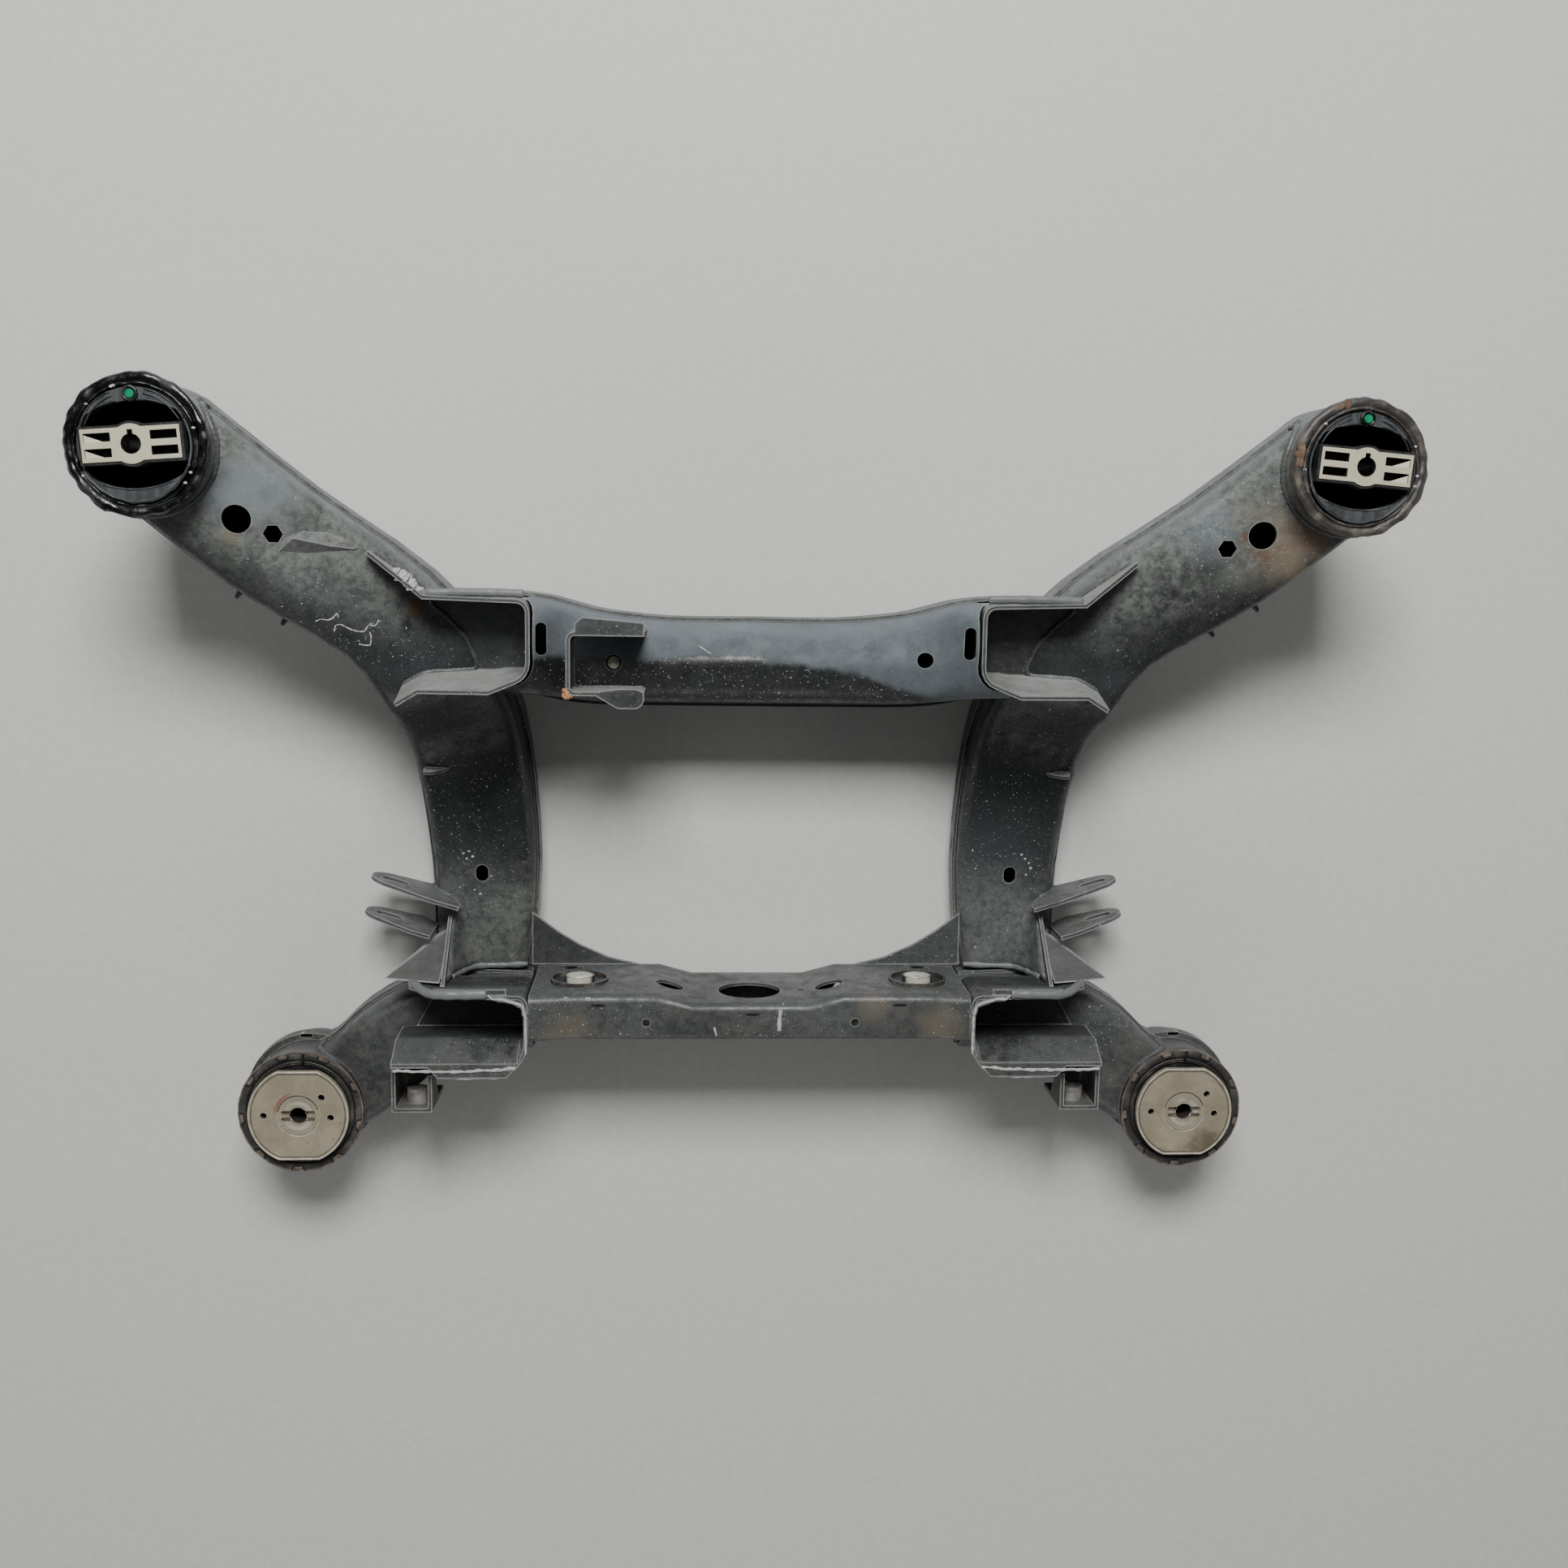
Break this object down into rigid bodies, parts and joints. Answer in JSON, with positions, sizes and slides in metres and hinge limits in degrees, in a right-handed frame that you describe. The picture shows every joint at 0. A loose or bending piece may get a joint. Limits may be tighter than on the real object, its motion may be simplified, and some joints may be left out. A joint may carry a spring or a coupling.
{
  "type": "subframe",
  "caption": "Pressed steel rear axle subframe of a car: bent side members, two crossmembers, link brackets and rubber body mounts at its corners.",
  "frame": {"origin": "middle of the underside of the whole, on the ground it lies on", "axes": "+X across the car, to the right in the picture; +Y towards the wide end; +Z along the mount axes, towards the side that faces the road"},
  "size_m": [1.045, 0.666, 0.225],
  "materials": {
    "member_paint": "black paint with road dust",
    "bracket_paint": "black paint, dusty and worn at the edges",
    "bush_shell": "black, rubber-coated steel",
    "rubber": "matt black",
    "cast_core": "as cast, stained",
    "stop_disc": "dull zinc",
    "nut_steel": "dull, dusty",
    "plug": "green lacquer"
  },
  "bodies": {
    "root": {"side_member_upper_shell_left": "member_paint", "side_member_upper_shell_right": "member_paint", "side_member_back_shell_left": "member_paint", "side_member_back_shell_right": "member_paint", "front_crossmember_upper_shell": "member_paint", "front_crossmember_back_shell": "member_paint", "rear_crossmember_channel": "member_paint", "rear_crossmember_closing_plate": "member_paint", "rear_arm_upper_shell_left": "member_paint", "rear_arm_upper_shell_right": "member_paint", "rear_arm_back_shell_left": "member_paint", "rear_arm_back_shell_right": "member_paint", "front_eye_left": "member_paint", "front_eye_right": "member_paint", "rear_eye_left": "member_paint", "rear_eye_right": "member_paint", "upper_link_bracket_left": "bracket_paint", "upper_link_bracket_right": "bracket_paint", "differential_bracket": "bracket_paint", "lower_link_bracket_left": "bracket_paint", "lower_link_bracket_right": "bracket_paint", "anti_roll_bar_bracket_left": "bracket_paint", "anti_roll_bar_bracket_right": "bracket_paint", "anti_roll_bar_nut_left": "nut_steel", "anti_roll_bar_nut_right": "nut_steel", "front_toe_link_ear_left": "bracket_paint", "front_toe_link_ear_right": "bracket_paint", "rear_toe_link_ear_left": "bracket_paint", "rear_toe_link_ear_right": "bracket_paint", "stiffening_rib_left": "bracket_paint", "stiffening_rib_right": "bracket_paint", "outer_wing_left": "bracket_paint", "outer_wing_right": "bracket_paint", "corner_gusset_left": "bracket_paint", "corner_gusset_right": "bracket_paint", "leg_tab_left": "bracket_paint", "leg_tab_right": "bracket_paint", "clip_studs": "member_paint", "front_bush_shell_left": "bush_shell", "front_bush_shell_right": "bush_shell", "front_bush_rubber_left": "rubber", "front_bush_rubber_right": "rubber", "front_bush_core_left": "cast_core", "front_bush_core_right": "cast_core", "fill_plugs": "plug", "rear_bush_shell_left": "bush_shell", "rear_bush_shell_right": "bush_shell", "rear_bush_rubber_left": "rubber", "rear_bush_rubber_right": "rubber", "rear_bush_core_left": "cast_core", "rear_bush_core_right": "cast_core", "rear_stop_disc_left": "stop_disc", "rear_stop_disc_right": "stop_disc", "differential_sleeve_left": "bush_shell", "differential_sleeve_right": "bush_shell", "differential_rubber_left": "rubber", "differential_rubber_right": "rubber", "differential_core_left": "cast_core", "differential_core_right": "cast_core"}
  },
  "joints": []
}
